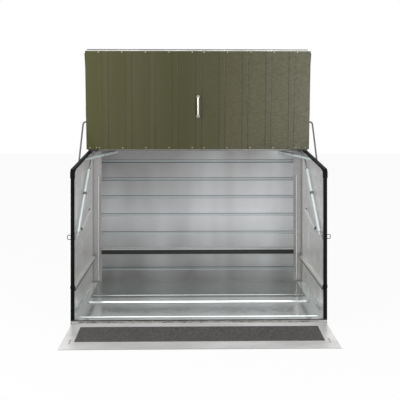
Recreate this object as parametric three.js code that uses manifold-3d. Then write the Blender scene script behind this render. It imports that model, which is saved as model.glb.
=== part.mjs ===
// Bicycle locker of coated sheet steel, standing open.
// A floor, two side walls and a back wall form the bay. The lid is hinged along the back, the door hangs
// from the lid's front edge and from two bent arms outside the walls, and a ramp folds down in front.
// Millimetres, +Z up, +Y towards the back, the origin on the ground under the middle of the base.

import * as THREE from 'three';
import { mergeVertices } from 'three/addons/utils/BufferGeometryUtils.js';
import Module from 'manifold-3d';

const wasm = await Module();
wasm.setup();

// Sizes of the body
const bodyWidth = 1924;
const bodyDepth = 880;
const wallHeightFront = 1175;
const floorHeight = 49;

// Sheets and clearances
const sheet = 0.9;
const plate = 3;
const seatGap = 0.3;
const overrun = 5;

// Where the lid's front edge and the door's top meet, closed and open
const closedEdgeStandOff = 2;
const closedEdgeRise = 5;
const openEdgeInset = 255.5;
const openEdgeRise = 946;
const lidSwing = THREE.MathUtils.degToRad(81.2);
const doorLean = THREE.MathUtils.degToRad(4.65);

// Sizes of the door, measured from the axis it shares with the lid
const doorSideGap = 11.5;
const doorDrop = 855;
const doorRise = 7;
const doorDepth = 45;
const stapleHeight = 665;
const armEyeBelowStaple = 100;
const armEyeSetback = 22;
const armPivotOffset = 80;

// Ribs of the cladding
const ribPitch = 202;
const ribWidth = 52;
const ribDepth = 4;
const ribFlank = 6;

const half = bodyWidth / 2;
const front = -bodyDepth / 2;
const back = bodyDepth / 2;

// Colours and finishes, one fresh copy for each mesh
const finishes = {
  coated: { color: 0x3b3c26, roughness: 0.5, metalness: 0.0 },
  bright: { color: 0xb4b7b8, roughness: 0.3, metalness: 1.0 },
  galvanised: { color: 0x9da1a1, roughness: 0.4, metalness: 1.0 },
  aluminium: { color: 0xc3c6c8, roughness: 0.35, metalness: 1.0 },
  black: { color: 0x0e0e0f, roughness: 0.6, metalness: 0.0 },
  mat: { color: 0x1b1c1e, roughness: 0.95, metalness: 0.0 },
  chrome: { color: 0xd2d3d2, roughness: 0.15, metalness: 1.0 },
};

function piece(name, geometry, finish) {
  const mesh = new THREE.Mesh(geometry, new THREE.MeshStandardMaterial(finishes[finish]));
  mesh.name = name;
  return mesh;
}

// Closed forms in and out of the boolean library
function solid(geometry) {
  const bare = geometry.clone();
  bare.deleteAttribute('normal');
  bare.deleteAttribute('uv');
  const merged = mergeVertices(bare);
  return new wasm.Manifold(new wasm.Mesh({
    numProp: 3,
    vertProperties: new Float32Array(merged.attributes.position.array),
    triVerts: new Uint32Array(merged.index.array),
  }));
}

function surface(manifold) {
  const mesh = manifold.getMesh();
  const geometry = new THREE.BufferGeometry();
  geometry.setAttribute('position', new THREE.BufferAttribute(new Float32Array(mesh.vertProperties), 3));
  geometry.setIndex(new THREE.BufferAttribute(new Uint32Array(mesh.triVerts), 1));
  return geometry;
}

function join(...geometries) {
  return surface(geometries.map(solid).reduce((sum, next) => sum.add(next)));
}

function cut(geometry, ...tools) {
  return surface(tools.map(solid).reduce((rest, tool) => rest.subtract(tool), solid(geometry)));
}

// Plain forms placed by their limits
function block([x0, x1], [y0, y1], [z0, z1]) {
  const geometry = new THREE.BoxGeometry(Math.abs(x1 - x0), Math.abs(y1 - y0), Math.abs(z1 - z0));
  return geometry.translate((x0 + x1) / 2, (y0 + y1) / 2, (z0 + z1) / 2);
}

function outline(points) {
  return new THREE.Shape(points.map(([a, b]) => new THREE.Vector2(a, b)));
}

function extrude(shape, depth) {
  return new THREE.ExtrudeGeometry(shape, { depth, bevelEnabled: false });
}

// A section drawn in (y, z) and carried along X
function alongX(shape, x0, x1) {
  const turn = new THREE.Matrix4().set(0, 0, 1, x0, 1, 0, 0, 0, 0, 1, 0, 0, 0, 0, 0, 1);
  return extrude(shape, x1 - x0).applyMatrix4(turn);
}

// A section drawn in (x, z) and carried along Y
function alongY(shape, y0, y1) {
  const turn = new THREE.Matrix4().set(1, 0, 0, 0, 0, 0, -1, y1, 0, 1, 0, 0, 0, 0, 0, 1);
  return extrude(shape, y1 - y0).applyMatrix4(turn);
}

// A section drawn in (x, y) and carried along Z
function alongZ(shape, z0, z1) {
  return extrude(shape, z1 - z0).translate(0, 0, z0);
}

// Round bars
const barSides = 16;

function barX(radius, x0, x1, y, z) {
  const geometry = new THREE.CylinderGeometry(radius, radius, Math.abs(x1 - x0), barSides);
  return geometry.rotateZ(Math.PI / 2).translate((x0 + x1) / 2, y, z);
}

function barY(radius, y0, y1, x, z) {
  const geometry = new THREE.CylinderGeometry(radius, radius, Math.abs(y1 - y0), barSides);
  return geometry.translate(x, (y0 + y1) / 2, z);
}

// A rod bent through a line of points, one ring of faces at each point
class BentLine extends THREE.Curve {
  constructor(points) {
    super();
    this.points = points;
  }

  getPoint(t) {
    const place = t * (this.points.length - 1);
    const i = Math.min(Math.floor(place), this.points.length - 2);
    return this.points[i].clone().lerp(this.points[i + 1], place - i);
  }

  getPointAt(t) {
    return this.getPoint(t);
  }

  getTangentAt(t) {
    const i = Math.round(t * (this.points.length - 1));
    const before = this.points[Math.max(i - 1, 0)];
    const after = this.points[Math.min(i + 1, this.points.length - 1)];
    return after.clone().sub(before).normalize();
  }
}

function bentRod(points, radius) {
  const path = new BentLine(points);
  const ring = new THREE.Shape();
  ring.absarc(0, 0, radius, 0, Math.PI * 2);
  const settings = { steps: points.length - 1, extrudePath: path, curveSegments: rodSides };
  return new THREE.ExtrudeGeometry(ring, settings);
}

// The corner points of a bent line, each inner corner rounded to a bend
const rodSides = 10;
const bendSteps = 6;

function rounded(corners, radius) {
  const points = [corners[0]];
  for (let i = 1; i < corners.length - 1; i += 1) {
    const into = corners[i].clone().sub(corners[i - 1]).normalize();
    const out = corners[i + 1].clone().sub(corners[i]).normalize();
    const turn = into.angleTo(out);
    const reach = radius * Math.tan(turn / 2);
    const start = corners[i].clone().addScaledVector(into, -reach);
    const inward = out.clone().sub(into).normalize();
    const centre = corners[i].clone().addScaledVector(inward, radius / Math.cos(turn / 2));
    const axis = into.clone().cross(out).normalize();
    for (let k = 0; k <= bendSteps; k += 1) {
      const arm = start.clone().sub(centre).applyAxisAngle(axis, (turn * k) / bendSteps);
      points.push(centre.clone().add(arm));
    }
  }
  points.push(corners[corners.length - 1]);
  return points;
}

// The section of a folded sheet: a line of folds made thick towards a point inside, with mitred corners
function folded(folds, thickness, inside) {
  const line = folds.map(([a, b]) => new THREE.Vector2(a, b));
  const middle = new THREE.Vector2(...inside);
  let lean = 0;
  line.slice(1).forEach((point, i) => {
    lean += point.clone().sub(line[i]).cross(middle.clone().sub(line[i]));
  });
  const grow = thickness * Math.sign(lean);
  const leftOf = (from, to) => {
    const way = to.clone().sub(from).normalize();
    return new THREE.Vector2(-way.y, way.x);
  };
  const offset = line.map((point, i) => {
    const before = i > 0 ? leftOf(line[i - 1], point) : leftOf(point, line[i + 1]);
    const after = i < line.length - 1 ? leftOf(point, line[i + 1]) : before;
    const mitre = before.clone().add(after).normalize();
    return point.clone().addScaledVector(mitre, grow / mitre.dot(before));
  });
  return new THREE.Shape([...line, ...offset.reverse()]);
}

// Folds of ribbed cladding between two edges: flat lands, and strips offset by the rib depth
function ribbed(from, to, seam, depth) {
  const points = [[from, 0]];
  const margin = ribWidth + ribFlank;
  const first = seam + Math.ceil((from + margin - seam) / ribPitch) * ribPitch;
  for (let edge = first; edge < to - ribFlank; edge += ribPitch) {
    points.push([edge - ribWidth, 0]);
    points.push([edge - ribWidth + ribFlank, depth]);
    points.push([edge - ribFlank, depth]);
    points.push([edge, 0]);
  }
  points.push([to, 0]);
  return points;
}

// Both sides of the locker: the right one at +X, the left one its mirror image
const sides = [['left', -1], ['right', 1]];

// Turns in the (y, z) plane, as a turn about +X makes them
function swing([y, z], angle) {
  const c = Math.cos(angle);
  const s = Math.sin(angle);
  return [y * c - z * s, y * s + z * c];
}

// The centre of the turn that carries one point to another
function centreOfTurn([y0, z0], [y1, z1], angle) {
  const reach = 1 / (2 * Math.tan(angle / 2));
  return [(y0 + y1) / 2 + (z1 - z0) * reach, (z0 + z1) / 2 - (y1 - y0) * reach];
}

// Axes of the moving parts
const closedEdge = [front - closedEdgeStandOff, wallHeightFront + closedEdgeRise];
const openEdge = [back - openEdgeInset, closedEdge[1] + openEdgeRise];
const lidAxis = centreOfTurn(closedEdge, openEdge, lidSwing);
const lidLength = Math.hypot(lidAxis[0] - closedEdge[0], lidAxis[1] - closedEdge[1]);
const lidPitch = Math.atan2(lidAxis[1] - closedEdge[1], lidAxis[0] - closedEdge[0]);
const lidOpenTurn = lidPitch - lidSwing;
const wallSlope = Math.tan(lidPitch);
const armEye = [-armEyeSetback, stapleHeight - armEyeBelowStaple - closedEdge[1]];
const closedEye = [closedEdge[0] + armEye[0], closedEdge[1] + armEye[1]];
const openEye = swing(armEye, doorLean).map((value, i) => value + openEdge[i]);
const eyeTravel = Math.hypot(openEye[0] - closedEye[0], openEye[1] - closedEye[1]);
const armAxis = [
  (closedEye[0] + openEye[0]) / 2 + ((openEye[1] - closedEye[1]) / eyeTravel) * armPivotOffset,
  (closedEye[1] + openEye[1]) / 2 - ((openEye[0] - closedEye[0]) / eyeTravel) * armPivotOffset,
];

// Parts of the door and of the lid are drawn from their shared axes and then stood open
function onDoor(geometry) {
  return geometry.rotateX(doorLean).translate(0, ...openEdge);
}

function onLid(geometry) {
  return geometry.rotateX(lidOpenTurn).translate(0, ...lidAxis);
}

// Base: four channels and a hat-shaped bearer under the middle of the floor
const railWidth = 60;
const railWall = 2;
const bearerWidth = 110;
const bearerFoot = 60;
const railTop = floorHeight - sheet - seatGap;

function railSection(outer) {
  const inner = outer - Math.sign(outer) * railWidth;
  return folded([[inner, 0], [outer, 0], [outer, railTop], [inner, railTop]], railWall, [inner, railTop / 2]);
}

function baseFrame() {
  const [y0, y1] = [front + railWidth + seatGap, back - railWidth - seatGap];
  const flange = railTop - railWall;
  const hat = folded([
    [-bearerWidth / 2, flange],
    [-bearerFoot / 2, flange],
    [-bearerFoot / 2, 0],
    [bearerFoot / 2, 0],
    [bearerFoot / 2, flange],
    [bearerWidth / 2, flange],
  ], railWall, [0, bodyDepth]);
  return [
    piece('base_rail_front', alongX(railSection(front), -half, half), 'galvanised'),
    piece('base_rail_rear', alongX(railSection(back), -half, half), 'galvanised'),
    piece('base_rail_left', alongY(railSection(-half), y0, y1), 'galvanised'),
    piece('base_rail_right', alongY(railSection(half), y0, y1), 'galvanised'),
    piece('base_bearer', alongY(hat, y0, y1), 'galvanised'),
  ];
}

// Floor: two sheets with cross beads, the front one with the raised hat, and a skirting along each wall
const floorInset = 57;
const floorHalf = half - floorInset;
const beadWidth = 16;
const beadHeight = 4;
const hatWidth = 88;
const hatHeight = 10;
const frontBeadPlace = -393;
const hatPlace = -103;
const rearBeadPlaces = [58];
const floorJoint = 10;
const skirtHeight = 22;
const wallInset = 6.5;
const backInset = 9;
const wallPlane = half - wallInset;
const wallInside = wallPlane - sheet;
const backPlane = back - backInset;
const backInside = backPlane - sheet;
const postDepth = 30;
const cornerPostReach = 45;

function floorLine(from, to, raised) {
  const base = floorHeight;
  const points = [[from, base]];
  for (const [start, width, height] of raised) {
    points.push([start, base]);
    points.push([start + height, base + height]);
    points.push([start + width - height, base + height]);
    points.push([start + width, base]);
  }
  points.push([to, base]);
  return points;
}

function floor() {
  const under = [0, -bodyWidth];
  const bead = (place) => [place, beadWidth, beadHeight];
  const frontLine = floorLine(front, floorJoint, [bead(frontBeadPlace), [hatPlace, hatWidth, hatHeight]]);
  const rearLine = floorLine(floorJoint + seatGap, backInside - seatGap, rearBeadPlaces.map(bead));
  const list = [
    piece('floor_front', alongX(folded(frontLine, sheet, under), -floorHalf, floorHalf), 'galvanised'),
    piece('floor_rear', alongX(folded(rearLine, sheet, under), -floorHalf, floorHalf), 'galvanised'),
  ];
  for (const [name, side] of sides) {
    const inner = floorHalf + seatGap;
    const outer = wallInside - seatGap;
    const section = folded([
      [side * inner, floorHeight],
      [side * (outer - sheet), floorHeight],
      [side * (outer - sheet), floorHeight + skirtHeight],
    ], sheet, [side * half, 0]);
    const skirt = alongY(section, front + postDepth + seatGap, backInside - cornerPostReach - seatGap);
    list.push(piece(`floor_edge_${name}`, skirt, 'galvanised'));
  }
  return list;
}

// Side walls: one ribbed sheet each, its front edge folded into a post, its top edge cut to the slope
const trimWidth = 26;
const trimDepth = 18;
const trimWall = 2.5;
const sideSeam = -260;
const sideRibDepth = 2.5;
const coverWall = 1.2;

function wallTop(y) {
  return wallHeightFront + wallSlope * (y - front);
}

function slopeTop(geometry, drop) {
  const place = geometry.attributes.position;
  for (let i = 0; i < place.count; i += 1) {
    if (place.getZ(i) > wallHeightFront / 2) {
      place.setZ(i, wallTop(place.getY(i)) - drop);
    }
  }
  return geometry;
}

function sideWalls() {
  const list = [];
  const nose = front + trimWall + seatGap;
  const lip = half - trimWidth + trimWall + seatGap;
  for (const [name, side] of sides) {
    const line = ribbed(nose, back - coverWall - seatGap * 2, sideSeam, sideRibDepth);
    const folds = [
      [side * lip, front + postDepth],
      [side * lip, nose],
      ...line.map(([y, depth]) => [side * (wallPlane + depth), y]),
    ];
    const sheetWall = alongZ(folded(folds, sheet, [0, 0]), railTop + seatGap, wallHeightFront);
    list.push(piece(`side_wall_${name}`, slopeTop(sheetWall, trimWall + seatGap), 'bright'));
  }
  return list;
}

// Mid rails inside the side walls and the back wall
const railDepth = 22;
const sideRailBottom = 258;
const sideRailTall = 32;
const backRailBottom = 299;
const backRailTall = 51;
const flangeTall = 8;

function midRails() {
  const list = [];
  const rearEnd = backInside - cornerPostReach - seatGap;
  const hat = (plane, bottom, tall) => folded([
    [plane, bottom - flangeTall],
    [plane, bottom],
    [plane - Math.sign(plane) * railDepth, bottom + sheet],
    [plane - Math.sign(plane) * railDepth, bottom + tall - sheet],
    [plane, bottom + tall],
    [plane, bottom + tall + flangeTall],
  ], sheet, [0, bottom + tall / 2]);
  for (const [name, side] of sides) {
    const section = hat(side * (wallInside - seatGap), sideRailBottom, sideRailTall);
    list.push(piece(`side_rail_${name}`, alongY(section, front + postDepth + seatGap, rearEnd), 'bright'));
  }
  const reach = wallInside - cornerPostWidth - seatGap * 2;
  const section = hat(backInside - seatGap, backRailBottom, backRailTall);
  list.push(piece('back_rail', alongX(section, -reach, reach), 'bright'));
  return list;
}

// Back wall: a sheet with level grooves, a post in each corner and a cover over each corner outside
const grooveFirst = 162;
const groovePitch = 164;
const grooveWidth = 30;
const grooveCount = 7;
const cornerPostWidth = 76;
const topRailDepth = 28;
const topRailTall = 40;
const topRailDrop = 6;
const coverWidth = 40;
const topRailTop = lidAxis[1] - topRailDrop - seatGap;

function backWall() {
  const points = [[backPlane, railTop + seatGap]];
  for (let i = 0; i < grooveCount; i += 1) {
    const middle = grooveFirst + i * groovePitch;
    points.push([backPlane, middle - grooveWidth / 2]);
    points.push([backPlane + ribDepth, middle - grooveWidth / 2 + ribFlank]);
    points.push([backPlane + ribDepth, middle + grooveWidth / 2 - ribFlank]);
    points.push([backPlane, middle + grooveWidth / 2]);
  }
  points.push([backPlane, topRailTop]);
  const reach = wallInside - seatGap;
  const railReach = half - trimWidth - seatGap;
  const skin = alongX(folded(points, sheet, [0, wallHeightFront / 2]), -railReach, railReach);
  const list = [
    piece('back_wall', skin, 'bright'),
  ];
  const postTop = topRailTop - topRailTall - seatGap;
  const coverTop = wallTop(back - coverWidth) - trimDepth - seatGap;
  for (const [name, side] of sides) {
    const post = folded([
      [side * (reach - cornerPostWidth), backInside - seatGap],
      [side * reach, backInside - seatGap],
      [side * reach, backInside - cornerPostReach],
    ], railWall, [0, 0]);
    list.push(piece(`corner_post_${name}`, alongZ(post, floorHeight + seatGap, postTop), 'galvanised'));
    const cover = folded([
      [side * (half), back - coverWidth],
      [side * (half), back],
      [side * (half - coverWidth), back],
    ], coverWall, [0, 0]);
    list.push(piece(`corner_cover_${name}`, alongZ(cover, railTop + seatGap, coverTop), 'coated'));
  }
  const y1 = lidAxis[0] + knuckleRadius - leafWall - seatGap;
  const rail = folded([
    [y1 - topRailDepth, topRailTop - topRailTall],
    [y1, topRailTop - topRailTall],
    [y1, topRailTop],
    [y1 - topRailDepth, topRailTop],
  ], railWall, [0, topRailTop - topRailTall / 2]);
  list.push(piece('back_top_rail', alongX(rail, -railReach, railReach), 'galvanised'));
  return list;
}

// Black edge trim: a channel up each front edge, one along each sloping top, a moulded corner between
const cornerReach = 46;

function edgeTrims() {
  const list = [];
  const inner = half - trimWidth;
  const hollowIn = inner + trimWall;
  const hollowOut = half - trimWall;
  for (const [name, side] of sides) {
    const middle = side * (half - trimWidth / 2);
    const upright = folded([
      [side * inner, front + trimDepth],
      [side * inner, front],
      [side * half, front],
      [side * half, front + trimDepth],
    ], trimWall, [middle, front + trimDepth]);
    const uprightTop = wallHeightFront - cornerReach - seatGap;
    list.push(piece(`front_trim_${name}`, alongZ(upright, railTop + seatGap, uprightTop), 'black'));
    const cap = folded([
      [side * inner, -trimDepth],
      [side * inner, 0],
      [side * half, 0],
      [side * half, -trimDepth],
    ], trimWall, [middle, -trimDepth]);
    const top = alongY(cap, front + cornerReach + seatGap, back);
    const place = top.attributes.position;
    for (let i = 0; i < place.count; i += 1) {
      place.setZ(i, place.getZ(i) + wallTop(place.getY(i)));
    }
    list.push(piece(`top_trim_${name}`, top, 'black'));
    list.push(piece(`trim_corner_${name}`, trimCorner(side, inner, hollowIn, hollowOut), 'black'));
  }
  return list;
}

function trimCorner(side, inner, hollowIn, hollowOut) {
  const edge = (wall, depth) => [
    [front + wall, wallHeightFront - cornerReach],
    [front + wall, wallTop(front + wall) - wall],
    [front + cornerReach, wallTop(front + cornerReach) - wall],
    [front + cornerReach, wallTop(front + cornerReach) - depth],
    [front + depth, wallTop(front + depth) - depth],
    [front + depth, wallHeightFront - cornerReach],
  ];
  const hollow = [
    [front + trimWall, wallHeightFront - cornerReach - overrun],
    [front + trimWall, wallTop(front + trimWall) - trimWall],
    [front + cornerReach + overrun, wallTop(front + cornerReach + overrun) - trimWall],
    [front + cornerReach + overrun, wallHeightFront - cornerReach - overrun],
  ];
  const limits = side > 0 ? [inner, half] : [-half, -inner];
  const hollowLimits = side > 0 ? [hollowIn, hollowOut] : [-hollowOut, -hollowIn];
  return cut(alongX(outline(edge(0, trimDepth)), ...limits), alongX(outline(hollow), ...hollowLimits));
}

// Angle stays across the rear upper corners
const stayFront = 58;
const stayWidth = 48;
const stayReach = 222;
const stayRise = 32;
const stayFlange = 20;

function cornerStays() {
  const rear = backInside - seatGap;
  const top = topRailTop - topRailTall - seatGap;
  return sides.map(([name, side]) => {
    const near = wallInside - stayReach;
    const strip = (width, drop) => alongZ(outline([
      [side * (wallInside - seatGap), stayFront],
      [side * (wallInside - seatGap), stayFront + width],
      [side * (near + width), rear],
      [side * near, rear],
    ]), top - drop, top);
    const stay = join(strip(stayWidth, railWall), strip(plate, stayFlange));
    const place = stay.attributes.position;
    for (let i = 0; i < place.count; i += 1) {
      const share = (rear - place.getY(i)) / (rear - stayFront);
      place.setZ(i, place.getZ(i) - stayRise * share);
    }
    return piece(`corner_stay_${name}`, stay, 'galvanised');
  });
}

// Long hinges: a fixed leaf that holds the pin and a moving leaf bored to turn on it
const knuckleRadius = 6;
const pinRadius = 2.5;
const pinClearance = 0.4;
const knuckleGap = 0.8;
const knuckleCount = 9;
const hingeInset = 62;
const hingeHalf = half - hingeInset;
const leafWall = 1.5;
const leafReach = 32;
const leafClear = 8;

function knuckles(phase, [y, z], bridgeY, bridgeZ) {
  const length = (hingeHalf * 2) / knuckleCount;
  const parts = [];
  for (let i = phase; i < knuckleCount; i += 2) {
    const x0 = i * length - hingeHalf + knuckleGap;
    const x1 = (i + 1) * length - hingeHalf - knuckleGap;
    parts.push(barX(knuckleRadius, x0, x1, y, z));
    parts.push(block([x0, x1], bridgeY, bridgeZ));
  }
  return parts;
}

function fixedLeaf(axis, leafY, leafZ, bridgeY, bridgeZ) {
  const strip = block([-hingeHalf, hingeHalf], leafY, leafZ);
  const pin = barX(pinRadius, -hingeHalf, hingeHalf, ...axis);
  return join(strip, ...knuckles(0, axis, bridgeY, bridgeZ), pin);
}

// The moving leaf lies under the hinged panel, drawn from the axis towards the front
function movingLeaf(top) {
  const leafZ = [top - leafWall, top];
  const strip = block([-hingeHalf, hingeHalf], [-leafReach, -leafClear], leafZ);
  const whole = join(strip, ...knuckles(1, [0, 0], [-leafClear - sheet, -pinRadius], leafZ));
  return cut(whole, barX(pinRadius + pinClearance, -hingeHalf - overrun, hingeHalf + overrun, 0, 0));
}

function lidHinge() {
  const rear = lidAxis[0] + knuckleRadius;
  const leafY = [rear - leafWall, rear];
  const leafZ = [topRailTop - leafReach, lidAxis[1] - knuckleRadius];
  const fixed = fixedLeaf(lidAxis, leafY, leafZ, leafY, [topRailTop - leafReach, lidAxis[1]]);
  return [
    piece('lid_hinge_fixed', fixed, 'galvanised'),
    piece('lid_hinge_moving', onLid(movingLeaf(-seatGap)), 'galvanised'),
  ];
}

// Lid: a ribbed panel with side skirts, a cross bearer and the front edge strip with its knuckles
const lidOverhang = 18;
const lidHalf = half + lidOverhang;
const lidSkirt = 40;
const lidRearGap = 8;
const lidFrontGap = 12;
const edgeInset = 12;
const edgeHalf = lidHalf - edgeInset;
const edgeFlange = 50;
const edgeLip = 17;
const edgeStep = 11;
const bearerPlace = 480;
const bearerInset = 72;
const bearerHalf = half - bearerInset;
const bearerDepth = 24;
const bearerBase = 70;
const bearerCrown = 40;

function lidPanel() {
  const skin = sheet;
  const reach = lidHalf;
  const crown = ribbed(-reach + ribWidth, reach - ribWidth, ribSeam, ribDepth);
  const folds = [
    [-reach, -lidSkirt],
    [-reach, skin],
    ...crown.map(([x, depth]) => [x, skin + depth]),
    [reach, skin],
    [reach, -lidSkirt],
  ];
  return alongY(folded(folds, skin, [0, -lidSkirt]), -lidLength + lidFrontGap, -lidRearGap);
}

function lidEdge() {
  const web = -lidLength + leafClear + leafWall;
  const tip = -lidLength - edgeLip;
  const section = outline([
    [web + edgeFlange, -seatGap - leafWall],
    [web + edgeFlange, -seatGap],
    [web, -seatGap],
    [web, edgeStep + leafWall],
    [tip, edgeStep + leafWall],
    [tip, edgeStep],
    [web - leafWall, edgeStep],
    [web - leafWall, -seatGap - leafWall],
  ]);
  const bridgeY = [-lidLength, web];
  const bridgeZ = [-seatGap - leafWall, leafWall];
  const own = knuckles(1, [-lidLength, 0], bridgeY, bridgeZ);
  return join(alongX(section, -edgeHalf, edgeHalf), ...own);
}

function lidBearer() {
  const top = -seatGap;
  return alongX(folded([
    [-bearerPlace - bearerBase / 2, top],
    [-bearerPlace - bearerCrown / 2, top],
    [-bearerPlace - bearerCrown / 2 + sheet, top - bearerDepth],
    [-bearerPlace + bearerCrown / 2 - sheet, top - bearerDepth],
    [-bearerPlace + bearerCrown / 2, top],
    [-bearerPlace + bearerBase / 2, top],
  ], leafWall, [-bearerPlace, -bodyDepth]), -bearerHalf, bearerHalf);
}

// Gas struts: anchors on the walls and on the lid, the cylinder with its sleeve, the rod
const anchorInset = 87;
const anchorHeight = 650;
const lidEyePlace = 110;
const lidEyeDrop = 35;
const strutAnchor = [front + anchorInset, anchorHeight];
const strutOnLid = [-lidEyePlace, -lidEyeDrop];
const strutInset = 32;
const strutPlane = half - strutInset;
const cylinderRadius = 11;
const sleeveRadius = 12;
const cylinderLength = 480;
const sleeveLength = 647;
const strutRodRadius = 5;
const strutBore = 6;
const boreDepth = 240;
const rodInside = 60;
const eyeRadius = 12.5;
const eyeThick = 10;
const studRadius = 4.5;
const studClearance = 0.5;
const studHead = 8;
const headThick = 2.5;
const anchorWidth = 44;
const anchorTall = 60;
const bracketWall = 4;
const bracketWidth = 44;
const latheSides = 20;

function eye(radius) {
  const ring = new THREE.Shape();
  ring.absarc(0, 0, eyeRadius, 0, Math.PI * 2);
  ring.holes.push(new THREE.Path().absarc(0, 0, radius, 0, Math.PI * 2));
  return alongX(ring, -eyeThick / 2, eyeThick / 2);
}

function struts() {
  const list = [];
  const upper = swing(strutOnLid, lidOpenTurn).map((value, i) => value + lidAxis[i]);
  const way = Math.atan2(upper[1] - strutAnchor[1], upper[0] - strutAnchor[0]);
  const span = Math.hypot(upper[1] - strutAnchor[1], upper[0] - strutAnchor[0]);
  const profile = [
    [0, eyeRadius - studClearance],
    [cylinderRadius, eyeRadius - studClearance],
    [cylinderRadius, cylinderLength],
    [sleeveRadius, cylinderLength],
    [sleeveRadius, sleeveLength],
    [strutBore, sleeveLength],
    [strutBore, sleeveLength - boreDepth],
    [0, sleeveLength - boreDepth],
  ].map(([r, y]) => new THREE.Vector2(r, y));
  for (const [name, side] of sides) {
    const x = side * strutPlane;
    const body = new THREE.LatheGeometry(profile, latheSides);
    const cylinder = join(body, eye(studRadius + studClearance)).rotateX(way).translate(x, ...strutAnchor);
    list.push(piece(`strut_cylinder_${name}`, cylinder, 'aluminium'));
    const bar = barY(strutRodRadius, sleeveLength - rodInside - span, -eyeRadius + studClearance, 0, 0);
    const rod = join(bar, eye(studRadius + studClearance)).rotateX(way).translate(x, ...upper);
    list.push(piece(`strut_rod_${name}`, rod, 'chrome'));
    const wall = side * (wallInside - seatGap);
    const base = block(
      [wall - side * plate, wall].sort((a, b) => a - b),
      [strutAnchor[0] - anchorWidth / 2, strutAnchor[0] + anchorWidth / 2],
      [strutAnchor[1] - anchorTall / 2, strutAnchor[1] + anchorTall / 2],
    );
    const inner = side * (strutPlane - eyeThick / 2 - studClearance);
    const stud = barX(studRadius, inner, wall, ...strutAnchor);
    const head = barX(studHead, inner - side * headThick, inner, ...strutAnchor);
    list.push(piece(`strut_anchor_${name}`, join(base, stud, head), 'galvanised'));
  }
  return list;
}

function lidBracket(side) {
  const [y, z] = strutOnLid;
  const outer = side * (strutPlane - eyeThick / 2 - studClearance);
  const near = outer - side * bracketWall;
  const far = near - side * bracketWall;
  const ears = block([far, near].sort((a, b) => a - b), [y - bracketWidth / 2, y + bracketWidth / 2],
    [z - eyeRadius, -seatGap]);
  const foot = block([far - side * bracketWidth, near].sort((a, b) => a - b),
    [y - bracketWidth / 2, y + bracketWidth / 2], [-seatGap - plate, -seatGap]);
  return join(ears, foot, barX(studHead, near, outer, y, z));
}

function lid() {
  return [
    piece('lid_panel', onLid(lidPanel()), 'coated'),
    piece('lid_edge', onLid(lidEdge()), 'aluminium'),
    piece('lid_bearer', onLid(lidBearer()), 'galvanised'),
    ...sides.map(([name, side]) => piece(`lid_bracket_${name}`, onLid(lidBracket(side)), 'galvanised')),
  ];
}

// Door: a ribbed panel with side flanges, bored for the arms
const ribSeam = -173;
const armRadius = 7;
const armClearance = 0.8;
const doorHalf = half + doorSideGap;
const backOfRibs = -doorDepth + ribDepth + sheet + seatGap;

function doorPanel() {
  const line = ribbed(-doorHalf, doorHalf, ribSeam, ribDepth);
  const folds = [
    [-doorHalf, 0],
    ...line.map(([x, depth]) => [x, depth - doorDepth]),
    [doorHalf, 0],
  ];
  const shell = alongZ(folded(folds, sheet, [0, 0]), -doorDrop, doorRise);
  const bores = barX(armRadius + armClearance, -doorHalf - overrun, doorHalf + overrun, ...armEye);
  return join(cut(shell, bores), ...rivetHeads());
}

// Rails across the door's top and bottom, and two stiles between them
const doorRailInset = 7.5;
const doorRailHalf = doorHalf - doorRailInset;
const doorRailWall = 1.5;
const doorRailTall = 40;
const hemDepth = 12;
const stileShare = 0.34;
const stileWidth = 60;
const stileCrown = 36;
const stileDepth = 22;
const stileLift = 95;

function doorRails() {
  const top = folded([
    [backOfRibs, doorRise - doorRailTall],
    [backOfRibs, doorRise],
    [-leafClear, doorRise],
  ], doorRailWall, [0, doorRise - doorRailTall]);
  const own = knuckles(0, [0, 0], [-leafClear - sheet, -pinRadius], [knuckleRadius / 2, doorRise]);
  const bottom = folded([
    [hemDepth - doorDepth, -doorDrop],
    [backOfRibs, -doorDrop],
    [backOfRibs, -doorDrop + doorRailTall],
  ], doorRailWall, [0, -doorDrop + doorRailTall]);
  const list = [
    piece('door_top_rail', onDoor(join(alongX(top, -doorRailHalf, doorRailHalf), ...own)), 'coated'),
    piece('door_bottom_rail', onDoor(alongX(bottom, -doorRailHalf, doorRailHalf)), 'coated'),
  ];
  for (const [name, side] of sides) {
    const x = side * half * stileShare;
    const hat = folded([
      [x - stileWidth / 2, backOfRibs],
      [x - stileCrown / 2, backOfRibs],
      [x - stileCrown / 2, backOfRibs + stileDepth],
      [x + stileCrown / 2, backOfRibs + stileDepth],
      [x + stileCrown / 2, backOfRibs],
      [x + stileWidth / 2, backOfRibs],
    ], sheet, [x, bodyDepth]);
    const stile = alongZ(hat, stileLift - doorDrop, doorRise - doorRailTall - seatGap);
    list.push(piece(`door_stile_${name}`, onDoor(stile), 'galvanised'));
  }
  return list;
}

// Rivet heads along the door's top and bottom edges, formed into its face
const rivetRadius = 5;
const rivetHead = 1.6;
const rivetInset = 15;
const rivetFirst = 51;
const rivetSides = 8;

function rivetHeads() {
  const heads = [];
  for (const z of [-doorDrop + rivetInset, doorRise - rivetInset]) {
    for (let x = rivetFirst; x < doorHalf - rivetInset; x += ribPitch) {
      for (const [, side] of sides) {
        const tall = rivetHead + seatGap;
        const head = new THREE.CylinderGeometry(rivetRadius, rivetRadius / 2, tall, rivetSides);
        const y = -doorDepth - (rivetHead - seatGap) / 2;
        heads.push(head.translate(side * x, y, z));
      }
    }
  }
  return heads;
}

// Grab handle on the door's middle
const handleHeight = 377;
const handleTall = 184;
const handleRadius = 8;
const handleStandOff = 38;
const handleBend = 18;
const footRadius = 13;
const footThick = 8;

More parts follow.
